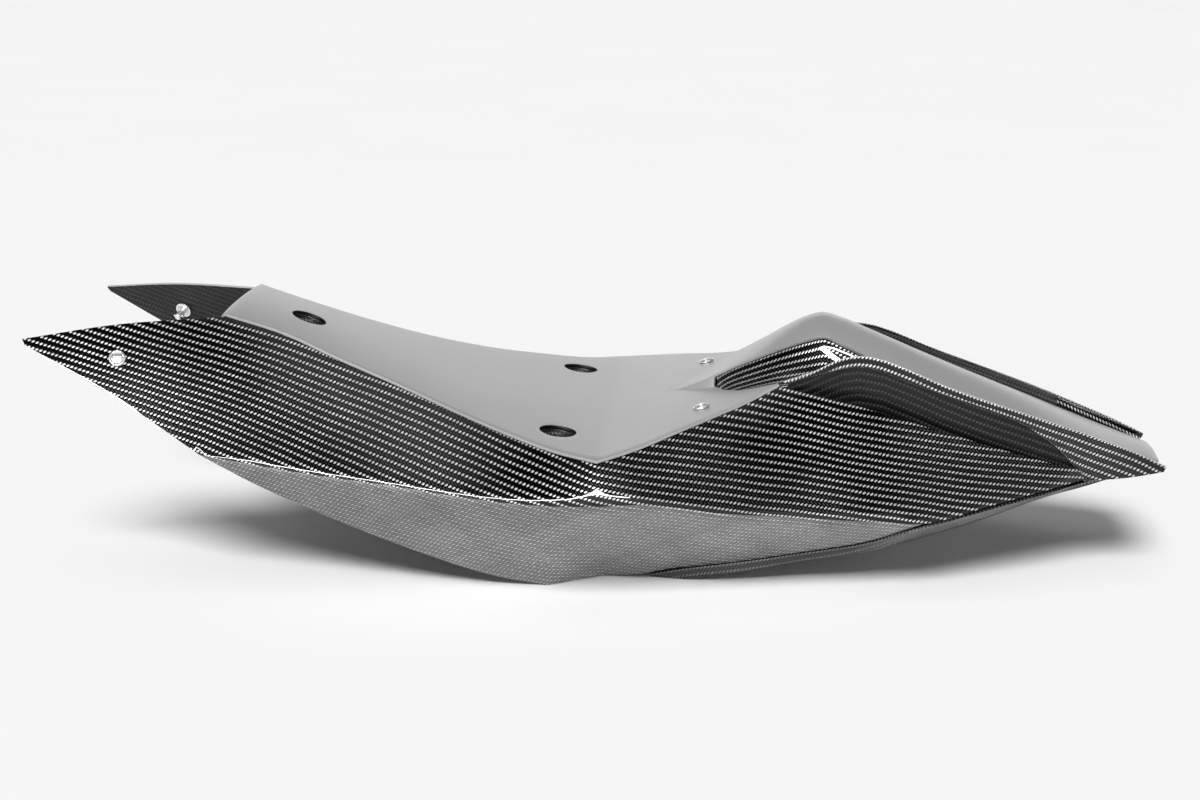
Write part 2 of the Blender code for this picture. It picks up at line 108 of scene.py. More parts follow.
CHANNEL_FOOT = [
    (86.8, 19.8, 137.2), (94, 28, 140), (110, 38, 143), (132, 46, 146.5), (156, 48.5, 149),
    (168, 48.5, 149), (181, 48, 147.5), (204, 48, 146), (255, 47.5, 129), (325, 43, 106),
    (379, 36.5, 90), (412, 33, 83.4),
]
CHANNEL_EDGE = [
    (86.6, 22.4, 133.8), (92, 36, 134.4), (105, 50, 138.4), (121, 59.5, 143.6), (145, 61, 146.8),
    (162, 57.2, 147.6), (181, 54.4, 146.8), (204, 54.6, 145.3), (255, 58.8, 128.5), (325, 54.4, 105.5),
    (379, 46.8, 89.6), (412, 43, 83),
]
CHANNEL_TOP = [(86.2, 17.8, 140.8)] + [(x, h, z - DECK_DROP) for x, h, z in SHOULDER[3:]]
FIN_TOP = [
    (136, 69.5, 151.3), (158, 64, 157.7), (180, 60.5, 167.3), (191, 60, 169.1), (206, 61, 167.6),
    (222, 63, 162.5), (252, 65, 150.1), (313, 62, 128.8), (336, 58.8, 121), (352, 56.3, 115.3),
    (372, 53.4, 107.6), (399, 50, 96.8), (423, 47.5, 85.8),
]
FIN_FOOT = [
    (138, 69.2, 149.7), (158, 64.3, 154.4), (180, 61, 159.8), (191, 60.5, 161.2), (206, 61.3, 159),
    (222, 63.2, 152.7), (253, 65, 143.1), (316, 61.5, 118.5), (337, 58.8, 104.2), (350, 56.8, 91.5),
    (362, 54.8, 75.2), (397, 50.5, 77.7), (421, 47.6, 81.5),
]
TRAY_CORNER = [
    (38, 79.5, 0.2), (66, 84.5, 1.2), (106, 86.5, 8.2), (151, 85.5, 17.6), (204, 84, 26.5),
    (244, 82, 37.8), (288, 74, 50.7), (331, 62.5, 64), (364, 50.4, 70.4), (383, 45.5, 75.2),
    (408, 42.5, 78.6),
]
TRAY_RIM = [
    (38, 80.9, 2.4), (66, 86.2, 9.4), (106, 87.3, 15.8), (151, 87, 23.8), (204, 91.2, 35.6),
    (240, 104, 51.2), (289, 87.6, 61.4), (333, 70, 69.6), (362, 51, 73), (383, 46.4, 77.4),
    (408, 43.2, 80.6),
]
# opening in the deck for the hump and the scoops, as (x, half width)
NOTCH = [
    (39, 0), (44, 4.2), (54, 9.8), (64, 14), (84, 23.8), (91.5, 37.6), (105, 51.6), (121, 61),
    (132.5, 68.2),
]
LAP_ENDS = NOTCH[4][0], NOTCH[5][0] # the deck's lap under the nose fades out between these
# rolled front lip of the deck: place from its first station along x and z, and share of its width
LIP = ((-4.4, -FRONT_LIP, 0.93), (-4.2, -3.8, 0.945), (-3.4, -1.6, 0.965), (-1.8, -0.4, 0.982))
NOSE_LAP = 6.0                      # the deck runs this far under the hump's nose
NOSE_DIP, NOSE_SKIN = 0.8, 0.1      # depth of the nose's foot in the deck, and height of its tip over it
# x of the duct liner's mesh columns
DUCT_STATIONS = (140, 146, 157, 168, 180, 192, 210, 232, 254, 277, 300, 320, 336, 348, 355)

# ---- camera ----
CAMERA_PLACE = (0.1129, -1.5078, 0.5095)
CAMERA_YAW, CAMERA_PITCH = math.radians(4.4137), math.radians(14.5688)
camera_data = bpy.data.cameras.new("camera")
camera_data.lens = 60.0
camera_data.sensor_width = 36.0
camera_data.clip_start = 0.05
camera = bpy.data.objects.new("camera", camera_data)
bpy.context.collection.objects.link(camera)
camera.location = CAMERA_PLACE
camera.rotation_euler = (math.pi / 2 - CAMERA_PITCH, 0, CAMERA_YAW)
bpy.context.scene.camera = camera


# ---- node helpers ----
class Tree:
    """A new material and short ways to add nodes to it."""

    def __init__(self, name):
        self.material = bpy.data.materials.new(name)
        self.material.use_nodes = True
        self.tree = self.material.node_tree
        self.shader = self.tree.nodes["Principled BSDF"]

    def node(self, kind, inputs=(), **settings):
        n = self.tree.nodes.new(kind)
        for key, value in settings.items():
            setattr(n, key, value)
        for key, value in dict(inputs).items():
            self.put(n.inputs[key], value)
        return n

    def put(self, socket, value):
        if isinstance(value, bpy.types.NodeSocket):
            self.tree.links.new(value, socket)
        else:
            socket.default_value = value

    def math(self, operation, a, b=0.0):
        return self.node("ShaderNodeMath", {0: a, 1: b}, operation=operation).outputs[0]

    def mix(self, factor, a, b):
        """Blend of two colours."""
        return self.node("ShaderNodeMix", {0: factor, 6: a, 7: b}, data_type="RGBA").outputs[2]

    def choose(self, factor, a, b):
        """Blend of two numbers."""
        return self.node("ShaderNodeMix", {0: factor, 2: a, 3: b}, data_type="FLOAT").outputs[0]

    def vector(self, operation, inputs):
        return self.node("ShaderNodeVectorMath", inputs, operation=operation).outputs[0]

    def scaled(self, vector, amount):
        return self.vector("SCALE", {0: vector, 3: amount})

    def placed(self, vector, **settings):
        return self.node("ShaderNodeMapping", {"Vector": vector, **settings}).outputs[0]

    def object_place(self):
        return self.node("ShaderNodeTexCoord").outputs["Object"]

    def bump(self, strength, distance, height):
        inputs = {"Strength": strength, "Distance": distance, "Height": height}
        return self.node("ShaderNodeBump", inputs).outputs[0]

    def noise(self, vector, scale, detail=3.0, roughness=0.5):
        inputs = {"Vector": vector, "Scale": scale, "Detail": detail, "Roughness": roughness}
        return self.node("ShaderNodeTexNoise", inputs).outputs[0]

    def remap(self, value, low, high, to_low, to_high):
        inputs = {0: value, 1: low, 2: high, 3: to_low, 4: to_high}
        return self.node("ShaderNodeMapRange", inputs, clamp=True).outputs[0]

    def set(self, **values):
        for key, value in values.items():
            self.put(self.shader.inputs[key.replace("_", " ")], value)


CLOTH_TURN = math.radians(45)
CLOTH_WANDER = 0.0022               # how far the cloth strays from straight, metres


def grey(v):
    """A level of grey, a touch cool."""
    return (v, v, v * 1.01, 1.0)


def twill(name, bright, dark, gap, metallic, roughness, bump, coat, coat_roughness, spread=0.0, specular=0.5):
    """2x2 twill cloth laid at 45 degrees to the piece's length, under clear resin.

    Bright, dark and gap are the levels of the tows one way, the tows the other way and the resin between
    them. Bright is a painted highlight, shown toward the crest of each top tow as a pale grain, and spread
    is a painted sheen that lightens the dark tows in broad random patches.
    """
    t = Tree(name)
    uv = t.node("ShaderNodeUVMap", uv_map="cloth").outputs[0]
    wander = t.node("ShaderNodeTexNoise", {"Vector": uv, "Scale": 16.0, "Detail": 1.0}).outputs["Color"]
    shift = t.scaled(t.vector("SUBTRACT", {0: wander, 1: (0.5, 0.5, 0.5)}), CLOTH_WANDER)
    laid = t.vector("ADD", {0: uv, 1: shift})
    turned = t.placed(laid, Rotation=(0, 0, CLOTH_TURN), Scale=(1 / (TOW * MM),) * 3)
    split = t.node("ShaderNodeSeparateXYZ", {0: turned})
    x, y = split.outputs[0], split.outputs[1]
    i, j = t.math("FLOOR", x), t.math("FLOOR", y)
    fx, fy = t.math("FRACT", x), t.math("FRACT", y)
    phase = t.math("FLOORED_MODULO", t.math("SUBTRACT", i, j), 4.0)
    warp_up = t.math("LESS_THAN", phase, 1.5)
    # across and along the tow that lies on top, both 0 to 1
    across = t.choose(warp_up, fy, fx)
    along_warp = t.math("MULTIPLY", t.math("ADD", t.math("SUBTRACT", 1.0, phase), fy), 0.5)
    along_weft = t.math("MULTIPLY", t.math("ADD", t.math("SUBTRACT", phase, 2.0), fx), 0.5)
    along = t.choose(warp_up, along_weft, along_warp)
    round_across = t.math("ABSOLUTE", t.math("SINE", t.math("MULTIPLY", across, math.pi)))
    round_along = t.math("ABSOLUTE", t.math("SINE", t.math("MULTIPLY", along, math.pi)))
    crown = t.math("MULTIPLY", round_across, t.math("POWER", round_along, 0.7))
    # no two tows hold the same amount of light
    warp_strand = t.math("MULTIPLY", warp_up, i)
    weft_strand = t.math("MULTIPLY", t.math("SUBTRACT", 1.0, warp_up), j)
    strand = t.math("ADD", warp_strand, weft_strand)
    tone = t.node("ShaderNodeTexWhiteNoise", {"W": strand}, noise_dimensions="1D").outputs[0]
    cloud = t.remap(t.noise(uv, 22.0, 2.0), 0.3, 0.7, 0.85, 1.15)
    level = t.math("MULTIPLY", t.remap(tone, 0.0, 1.0, 0.82, 1.18), cloud)
    # painted sheen: broad random patches where the dark tows are lightened, standing in for light they catch
    sheen_patches = t.remap(t.noise(uv, 7.0, 1.0), 0.42, 0.66, 0.0, 1.0)
    weft_colour = t.mix(sheen_patches, grey(dark), grey(dark + spread))
    tow_colour = t.mix(warp_up, weft_colour, grey(bright))
    # painted highlight: each tow shows its level only toward its crown, so the pale top tows make bright grains
    # over dark resin
    body = t.mix(t.remap(crown, 0.35, 0.95, 0.0, 1.0), grey(gap), tow_colour)
    # filaments run along each tow, so the highlight turns a quarter from one way of the cloth to the other
    rotation = t.math("ADD", t.math("MULTIPLY", warp_up, 0.25), CLOTH_TURN / (2 * math.pi))
    t.set(
        Base_Color=t.scaled(body, level), Metallic=metallic, Specular_IOR_Level=specular,
        Roughness=t.remap(t.noise(uv, 60.0, 2.0), 0.2, 0.8, roughness - 0.05, roughness + 0.06),
        Normal=t.bump(bump, 0.00018, crown), Anisotropic=0.75, Anisotropic_Rotation=rotation,
        Tangent=t.node("ShaderNodeTangent", direction_type="UV_MAP", uv_map="cloth").outputs[0],
        Coat_Weight=coat, Coat_Roughness=coat_roughness, Coat_IOR=1.5,
    )
    if coat:
        t.set(Coat_Normal=t.bump(0.10, 0.0006, t.noise(uv, 42.0, 1.0)))
    return t.material


def paint(name, value):
    """Satin lacquer with a faint orange peel, fine metallic fleck and light rub marks."""
    t = Tree(name)
    where = t.object_place()
    peel = t.noise(where, 700.0, 1.0)
    fleck = t.node("ShaderNodeTexVoronoi", {"Vector": where, "Scale": 2600.0}).outputs["Distance"]
    cloud = t.noise(where, 9.0, 3.0)
    rub = t.noise(t.placed(where, Scale=(14.0, 160.0, 60.0)), 1.0, 4.0)
    tone = t.math("MULTIPLY", t.remap(cloud, 0.3, 0.7, 0.965, 1.035), t.remap(fleck, 0.0, 0.9, 0.93, 1.06))
    t.set(
        Base_Color=t.scaled(grey(value)[:3], tone), Metallic=0.12,
        Roughness=t.remap(rub, 0.3, 0.75, 0.36, 0.385), Normal=t.bump(0.08, 0.0002, peel),
        Coat_Weight=0.55, Coat_Roughness=0.26, Coat_IOR=1.45,
    )
    return t.material


def turned_metal(name, value, roughness, ring_scale):
    """Machined metal: tool rings about the piece's own axis, stains and fine scratches."""
    t = Tree(name)
    where = t.object_place()
    x, y, z = t.node("ShaderNodeSeparateXYZ", {0: where}).outputs
    radius = t.math("SQRT", t.math("ADD", t.math("POWER", x, 2.0), t.math("POWER", y, 2.0)))
    rings = t.math("SINE", t.math("MULTIPLY", t.math("ADD", radius, z), ring_scale))
    stain = t.noise(where, 420.0, 4.0)
    scratch = t.noise(t.placed(where, Scale=(3000.0, 300.0, 900.0)), 1.0, 3.0)
    wear = t.math("ADD", stain, t.math("MULTIPLY", scratch, 0.4))
    tone = t.math("MULTIPLY", t.remap(stain, 0.3, 0.75, 1.06, 0.8), t.remap(rings, -1.0, 1.0, 0.93, 1.04))
    t.set(
        Base_Color=t.scaled(grey(value)[:3], tone), Metallic=0.8, Anisotropic=0.3,
        Roughness=t.remap(wear, 0.4, 1.0, roughness - 0.05, roughness + 0.15),
        Normal=t.bump(0.12, 0.0001, rings),
    )
    return t.material


def rubber(name):
    """Dull rubber with a fine grain and a cloudy bloom."""
    t = Tree(name)
    where = t.object_place()
    grain = t.noise(where, 1800.0, 4.0)
    bloom = t.noise(where, 180.0, 3.0)
    t.set(
        Base_Color=t.mix(t.remap(bloom, 0.35, 0.75, 0.0, 1.0), grey(0.018), grey(0.045)),
        Roughness=t.remap(grain, 0.3, 0.7, 0.62, 0.82), Normal=t.bump(0.3, 0.0001, grain), Sheen_Weight=0.15,
    )
    return t.material


# painted highlight: the top tows' pale level stands for light glinting off fibre that is near black
CARBON = twill(
    "gloss twill", bright=0.52, dark=0.004, spread=0.05, gap=0.0005, metallic=0.35, specular=0.0,
    roughness=0.33, bump=0.9, coat=0.7, coat_roughness=0.03,
)
# painted reflection: the same gloss cloth as the panels, lightened all over to paint the pale floor mirrored on
# the down-facing skirt
FLOOR_REFLECTION_TWILL = twill(
    "twill with painted floor reflection", bright=0.50, dark=0.28, gap=0.12, metallic=0.75,
    roughness=0.42, bump=0.5, coat=0.5, coat_roughness=0.12,
)
# painted shade: the cloth darkened to paint the shade under the tail, where the undertray faces the shadowed
# floor
SHADED_TRAY_TWILL = twill(
    "tray twill with painted shade", bright=0.16, dark=0.02, gap=0.004, metallic=0.5,
    roughness=0.40, bump=0.7, coat=0.8, coat_roughness=0.06,
)
INNER = twill(
    "bare twill", bright=0.07, dark=0.03, gap=0.004, metallic=0.4,
    roughness=0.55, bump=0.8, coat=0.0, coat_roughness=0.3,
)
# painted shade: the cloth darkened to near black to paint the shade deep inside the duct
SHADED_DUCT_TWILL = twill(
    "duct twill with painted shade", bright=0.03, dark=0.004, gap=0.0005, metallic=0.3, specular=0.1,
    roughness=0.45, bump=0.8, coat=0.4, coat_roughness=0.2,
)
CUP_CARBON = twill(
    "cup twill", bright=0.10, dark=0.03, gap=0.004, metallic=0.3,
    roughness=0.4, bump=0.6, coat=1.0, coat_roughness=0.08,
)
PAINT = paint("satin grey paint", 0.30)
# painted highlight: the trimmed laminate edges take a pale grey so the rims read as bright lines
EDGE_HIGHLIGHT = paint("trimmed edge with painted highlight", 0.42)
STEEL = turned_metal("polished steel", 0.88, 0.16, 18000.0)
ALLOY = turned_metal("turned aluminium", 0.7, 0.28, 14000.0)
RUBBER = rubber("black rubber")


# ---- rails and grids ----
def smooth_rail(points, steps, sharp=()):
    """Points along a smooth curve through the control points, with corners at the sharp ones."""
    pts = [Vector(p) for p in points]
    last = len(pts) - 1
    chord = [(pts[i + 1] - pts[i]).length for i in range(last)]

    def tangent(i, ahead):
        before = (pts[i] - pts[i - 1]) / chord[i - 1] if i > 0 else None
        after = (pts[i + 1] - pts[i]) / chord[i] if i < last else None
        if before is None:
            return after
        if after is None:
            return before
        if i in sharp:
            return after if ahead else before
        return (before * chord[i] + after * chord[i - 1]) / (chord[i] + chord[i - 1])

    out = []
    for i in range(last):
        start, end = tangent(i, True) * chord[i], tangent(i + 1, False) * chord[i]
        for k in range(steps[i]):
            s = k / steps[i]
            out.append(
                pts[i] * (2 * s**3 - 3 * s**2 + 1) + start * (s**3 - 2 * s**2 + s)
                + pts[i + 1] * (3 * s**2 - 2 * s**3) + end * (s**3 - s**2)
            )
    out.append(pts[last])
    return out


def steps_of(points):
    """Mesh edges between each control point and the next."""
    return [max(1, math.ceil((Vector(b) - Vector(a)).length / STEP)) for a, b in zip(points, points[1:])]


def bowed(point, along, across, bulge, v):
    """The point at share v of the way across, pushed out of the plane by a bow."""
    normal = along.cross(across)
    if normal.length < TINY:
        return point
    return point + normal.normalized() * bulge * across.length * 4 * v * (1 - v)


def direction_at(rail, i):
    return rail[min(i + 1, len(rail) - 1)] - rail[max(i - 1, 0)]


def between(rail_a, rail_b, rows, bulge=0.0):
    """Rows of points from one rail to another, both included, bowed out of the plane by bulge."""
    grid = []
    for r in range(rows + 1):
        v = r / rows
        row = [a.lerp(b, v) for a, b in zip(rail_a, rail_b)]
        if bulge:
            row = [
                bowed(p, direction_at(rail_a, i), rail_b[i] - rail_a[i], bulge, v) for i, p in enumerate(row)
            ]
        grid.append(row)
    return grid


def at_x(rail, x):
    """Point of a smooth rail at the given x."""
    for a, b in zip(rail, rail[1:]):
        if a.x <= x <= b.x:
            return a.lerp(b, (x - a.x) / (b.x - a.x))
    return rail[-1] if x > rail[-1].x else rail[0]


def flow(grid):
    """Places on the cloth, millimetres: along the middle row of the grid, and down each column."""
    middle = grid[len(grid) // 2]
    along = [0.0]
    for a, b in zip(middle, middle[1:]):
        along.append(along[-1] + (b - a).length)
    down = [0.0] * len(middle)
    out = [list(zip(along, down))]
    for above, row in zip(grid, grid[1:]):
        down = [d - (q - p).length for d, p, q in zip(down, above, row)]
        out.append(list(zip(along, down)))
    return out


# ---- making pieces ----
def linked(name, bm, *materials):
    """Turns the bmesh into an object in the scene."""
    mesh = bpy.data.meshes.new(name)
    bm.to_mesh(mesh)
    bm.free()
    for material in materials:
        mesh.materials.append(material)
    ob = bpy.data.objects.new(name, mesh)
    bpy.context.collection.objects.link(ob)
    return ob


def fit(ob, node, body):
    """The object stands for a frame node, whose own part is hidden, and moves with a body."""
    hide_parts(node)
    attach(ob, body)


def skin(name, patches, node, material, side=1, mirrored=False, thickness=WALL, inner=None, second=None,
         edge=None, cutters=(), rim=EDGE_ROUND):
    """A moulded laminate: outer sheet with cloth places, thickened inward, cut and rounded.

    The second material takes over on the later patches below row SKIRT_TURN; on the side shells it is the cloth
    lightened to paint the floor's reflection.
    """
    bm = bmesh.new()
    cloth = bm.loops.layers.uv.new("cloth")
    index = {}
    for sign in ((-1, 1) if mirrored else (side,)):
        for number, (grid, places) in enumerate(patches):
            for r in range(len(grid) - 1):
                for c in range(len(grid[0]) - 1):
                    ring = [(r, c), (r + 1, c), (r + 1, c + 1), (r, c + 1)]
                    if sign > 0:
                        ring.reverse()
                    corners, spots = [], []
                    for a, b in ring:
                        p = grid[a][b]
                        key = (round(p.x, 3), round(p.y * sign, 3), round(p.z, 3))
                        if key not in index:
                            index[key] = bm.verts.new((Vector((p.x, p.y * sign, p.z)) + MIDDLE) * MM)
                        if index[key] not in corners:
                            corners.append(index[key])
                            spots.append(places[a][b])
                    if len(corners) < 3:
                        continue
                    face = bm.faces.new(corners)
                    face.smooth = True
                    face.material_index = 1 if number and second and r >= SKIRT_TURN else 0
                    for loop, (u, v) in zip(face.loops, spots):
                        loop[cloth].uv = (u * MM, v * MM * sign * -1)
    inside = inner or material
    ob = linked(name, bm, material, second or material, inside, inside, edge or material)
    solid = ob.modifiers.new("laminate", "SOLIDIFY")
    solid.thickness = thickness * MM
    solid.offset = -1.0
    solid.use_even_offset = True
    solid.material_offset = 2       # the inside's place in the list of finishes
    solid.material_offset_rim = 4   # the edge's place
    for cutter in cutters:
        combine(ob, "DIFFERENCE", cutter)
    soft = ob.modifiers.new("rounded edges", "BEVEL")
    soft.width = rim * MM
    soft.segments = 3
    soft.limit_method = "ANGLE"
    soft.angle_limit = math.radians(50)
    soft.use_clamp_overlap = True
    settle(ob)
    fit(ob, node, "shell")


def combine(ob, operation, other):
    change = ob.modifiers.new(other.name, "BOOLEAN")
    change.operation = operation
    change.object = other


def settle(ob, angle=40):
    """Applies the modifiers, so that the cutters can go, and sharpens edges beyond the angle in degrees."""
    bpy.context.view_layer.update()
    done = ob.evaluated_get(bpy.context.evaluated_depsgraph_get())
    mesh = bpy.data.meshes.new_from_object(done)
    ob.modifiers.clear()
    old = ob.data
    ob.data = mesh
    bpy.data.meshes.remove(old)
    mesh.name = ob.name
    mesh.set_sharp_from_angle(angle=math.radians(angle))


def axes(origin, normal):
    """Matrix whose local Z is the given normal, and whose local X is as level as it can be."""
    z = normal.normalized()
    x = Vector((0, 0, 1)).cross(z)
    if x.length < 0.2:
        x = Vector((0, 1, 0)).cross(z)
    x.normalize()
    matrix = Matrix((x, z.cross(x), z)).transposed().to_4x4()
    matrix.translation = (origin + MIDDLE) * MM
    return matrix


def rounded(profile, radius):
    """The closed profile with its corners cut round by radius, millimetres, except those on the axis."""
    out = []
    count = len(profile)
    for k, p in enumerate(profile):
        p = Vector(p)
        if p.x == 0:
            out.append(tuple(p))
            continue
        before, after = Vector(profile[k - 1]) - p, Vector(profile[(k + 1) % count]) - p
        r = min(radius, before.length * MOST_OF_SIDE, after.length * MOST_OF_SIDE)
        a, b = p + before.normalized() * r, p + after.normalized() * r
        for s in (0.0, 0.33, 0.67, 1.0):
            out.append(tuple(a.lerp(p, s).lerp(p.lerp(b, s), s)))
    return out


FLAT_ABOVE = 0.7                    # a turned face whose normal is more upright takes its cloth from above


def lathe(name, profile, matrix, material, segments=56, round_by=0.25):
    """A turned piece: closed profile of (radius, height) in millimetres about the local Z axis."""
    bm = bmesh.new()
    cloth = bm.loops.layers.uv.new("cloth")
    turn = 2 * math.pi / segments
    rings = []
    for r, z in rounded(profile, round_by):
        if r == 0:
            rings.append([bm.verts.new((0, 0, z * MM))])
            continue
        angles = [turn * k for k in range(segments)]
        rings.append([bm.verts.new((r * MM * math.cos(a), r * MM * math.sin(a), z * MM)) for a in angles])
    pairs = list(zip(rings, rings[1:]))
    if len(rings[0]) > 1:
        pairs.append((rings[-1], rings[0]))
    for a, b in pairs:
        for k in range(segments):
            ring, turns = [], []
            for circle, at in ((a, k), (a, k + 1), (b, k + 1), (b, k)):
                v = circle[at % len(circle)]
                if v not in ring:
                    ring.append(v)
                    turns.append(at * turn)
            if len(ring) < 3:
                continue
            face = bm.faces.new(ring)
            face.smooth = True
            face.normal_update()
            flat = abs(face.normal.z) > FLAT_ABOVE
            for loop, at in zip(face.loops, turns):
                place = loop.vert.co
                loop[cloth].uv = place.xy if flat else (at * place.xy.length, place.z)
    bmesh.ops.recalc_face_normals(bm, faces=bm.faces[:])
    ob = linked(name, bm, material)
    ob.data.set_sharp_from_angle(angle=math.radians(50))
    ob.matrix_world = matrix
    return ob


def tool(name, bm, matrix, material=INNER):
    """A cutter or an addition, removed once it has done its work; the faces it makes take its material."""
    ob = linked(name, bm, material)
    ob.matrix_world = matrix
    ob.hide_render = True
    return ob


def round_tool(name, radius, depth, matrix, material=INNER, segments=64):
    bm = bmesh.new()
    bmesh.ops.create_cone(
        bm, cap_ends=True, segments=segments, radius1=radius * MM, radius2=radius * MM, depth=depth * MM
    )
    return tool(name, bm, matrix, material)


def drop(*tools):
    for ob in tools:
        mesh = ob.data
        bpy.data.objects.remove(ob, do_unlink=True)
        bpy.data.meshes.remove(mesh)


# ---- sampled rails ----
side_top = WING_TOP + [(x, h, z - DECK_DROP) for x, h, z in DECK_EDGE] + DUCT_SILL
side_steps = steps_of(side_top)
deck_start = len(WING_TOP)
apex_station = deck_start + len(DECK_EDGE) - 1
top_rail = smooth_rail(side_top, side_steps, sharp=(deck_start, deck_start + VALLEY, apex_station))
fold_rail = smooth_rail(FOLD, side_steps, sharp=(SKIRT_FIRST,))
skirt_points = [FOLD[SKIRT_FIRST]] + SKIRT_FOOT + [FOLD[SKIRT_LAST]]
skirt_steps = side_steps[SKIRT_FIRST:SKIRT_LAST]
foot_rail = smooth_rail(skirt_points, skirt_steps, sharp=(SKIRT_CORNER, SKIRT_CORNER + 1))
skirt_start = sum(side_steps[:SKIRT_FIRST])
edge_rail = smooth_rail(DECK_EDGE, side_steps[deck_start:apex_station], sharp=(VALLEY,))


def deck_point(x, y):
    """Point of the crowned deck surface."""
    edge = at_x(edge_rail, x)
    return Vector((x, y, edge.z + DECK_CROWN * (1 - (y / edge.y) ** 2)))


def deck_frame(x, y):
    """Matrix of a place on the deck, square to its surface."""
    reach = 2.0
    along = deck_point(x + reach, y) - deck_point(x - reach, y)
    across = deck_point(x, y + reach) - deck_point(x, y - reach)
    return axes(deck_point(x, y), along.cross(across).normalized())


def notch_half_width(x):
    """Half width of the opening the hump and the scoops leave in the deck."""
    if x <= NOTCH[0][0]:
        return 0.0
    fade_start, fade_end = LAP_ENDS
    lap = NOSE_LAP * min(1.0, max(0.0, (fade_end - x) / (fade_end - fade_start)))
    for (xa, ha), (xb, hb) in zip(NOTCH, NOTCH[1:]):
        if x <= xb:
            return max(0.0, ha + (hb - ha) * (x - xa) / (xb - xa) - lap)
    return NOTCH[-1][1]


# ---- side shells ----
PANEL_ROWS, SKIRT_ROWS, ROUND_ROWS = 18, 12, 8
panel = between(top_rail, fold_rail, PANEL_ROWS, bulge=PANEL_BULGE)
skirt = [[] for r in range(ROUND_ROWS + SKIRT_ROWS + 1)]
for c, foot in enumerate(foot_rail, skirt_start):
    # the last rows of the panel give way to the rounded fold
    top, fold = top_rail[c], fold_rail[c]
    reach = min(FOLD_ROUND, (foot - fold).length * MOST_OF_SIDE)
    upper = fold + (panel[-2][c] - fold).normalized() * reach
    for r, row in enumerate(panel):
        v = r / PANEL_ROWS
        row[c] = bowed(top.lerp(upper, v), direction_at(top_rail, c), fold - top, PANEL_BULGE, v)
    upper = panel[-1][c]
    lower = fold + (foot - fold).normalized() * reach
    for r in range(ROUND_ROWS + 1):
        s = r / ROUND_ROWS
        skirt[r].append(upper.lerp(fold, s).lerp(fold.lerp(lower, s), s))
    for r in range(1, SKIRT_ROWS + 1):
        skirt[ROUND_ROWS + r].append(lower.lerp(foot, r / SKIRT_ROWS))


def side_flow(grid, first_column):
    """Cloth places of the side: rows of the weave fall gently to the rear, a little steeper at the front."""
    out = []
    for row in grid:
        line = []
        for c, p in enumerate(row):
            fold_height = fold_rail[c + first_column].z
            height = PANEL_LAY * max(p.z, fold_height) + SKIRT_LAY * min(p.z - fold_height, 0.0)
            line.append((p.x, height + ROW_FALL * p.x - ROW_BEND * p.x**2))
        out.append(line)
    return out


side_patches = [(panel, side_flow(panel, 0)), (skirt, side_flow(skirt, skirt_start))]

# each stud's own place, with Z out along its axis, from the frame's joints
seats = {}
for joint in frame["joints"]:
    place = Vector(joint["pos_m"]) / MM - MIDDLE
    seats[joint["child"]] = axes(place, Vector(joint["axis"]))

SIDES = (("left", -1), ("right", 1))
for key, sign in SIDES:
    hole = round_tool("hole", STUD_HOLE_RADIUS, DRILL_DEPTH, seats["stud_wing_" + key])
    skin(
        "side_" + key, side_patches, "side_shell_" + key, CARBON, side=sign, inner=INNER, second=FLOOR_REFLECTION_TWILL,
        edge=EDGE_HIGHLIGHT, cutters=(hole,),
    )
    drop(hole)

# ---- seat deck ----
DECK_ROWS = 16
NOTCH_STEPS = 4                     # mesh edges between the notch's points
NOTCH_MARGIN = 3.0                  # no column of the rail stands closer than this before the notch
PAINTED_EDGE_ROUND = 0.7
deck_stations = {round(p.x, 3) for p in edge_rail if p.x < NOTCH[0][0] - NOTCH_MARGIN}
for (xa, ha), (xb, hb) in zip(NOTCH, NOTCH[1:]):
    deck_stations |= {round(xa + (xb - xa) * k / NOTCH_STEPS, 3) for k in range(NOTCH_STEPS + 1)}
deck_grid = []
for r in range(DECK_ROWS + 1):
    row = []
    for x in sorted(deck_stations):
        edge = at_x(edge_rail, x)
        inner_y = notch_half_width(x)
        row.append(deck_point(x, inner_y + (edge.y - inner_y) * r / DECK_ROWS))
    start = row[0]
    row[:0] = [Vector((start.x + dx, start.y * narrow, start.z + dz)) for dx, dz, narrow in LIP]
    deck_grid.append(row)
deck_tools = [round_tool("hole", WELL_RADIUS, WELL_DRILL_DEPTH, deck_frame(x, y)) for x, y in WELLS.values()]
for key, sign in SIDES:
    deck_tools.append(round_tool("hole", STUD_HOLE_RADIUS, DRILL_DEPTH, seats["stud_deck_" + key]))
skin(
    "seat_panel", [(deck_grid, flow(deck_grid))], "seat_deck", PAINT, mirrored=True, inner=INNER,
    cutters=deck_tools, rim=PAINTED_EDGE_ROUND,
)
drop(*deck_tools)

# ---- hump ----
HUMP_ROWS, NOSE_ROWS = 12, 4
HUMP_CROWN = 1.7                    # the section leaves the ridge flat and steepens toward the shoulder
hump_steps = steps_of(RIDGE)
nose_steps = hump_steps[:len(NOSE_FOOT) - 1]
nose_count = sum(nose_steps) + 1
ridge_rail = smooth_rail(RIDGE, hump_steps)
shoulder_rail = smooth_rail(SHOULDER, hump_steps)
nose_foot_rail = smooth_rail(NOSE_FOOT, nose_steps)
for rail in (ridge_rail, shoulder_rail):
    for p in rail[:nose_count]:
        p.z = max(p.z, deck_point(p.x, p.y).z + NOSE_SKIN)
for p in nose_foot_rail:
    p.z = deck_point(p.x, p.y).z - NOSE_DIP
hump_grid = []
for r in range(HUMP_ROWS + 1):
    v = r / HUMP_ROWS
    hump_grid.append([
        Vector((a.x + (b.x - a.x) * v, b.y * v, a.z + (b.z - a.z) * v**HUMP_CROWN))
        for a, b in zip(ridge_rail, shoulder_rail)
    ])
nose_grid = between(shoulder_rail[:nose_count], nose_foot_rail, NOSE_ROWS)
skin(
    "hump", [(hump_grid, flow(hump_grid)), (nose_grid, flow(nose_grid))], "hump_cover", PAINT, mirrored=True,
    inner=INNER, rim=PAINTED_EDGE_ROUND,
)

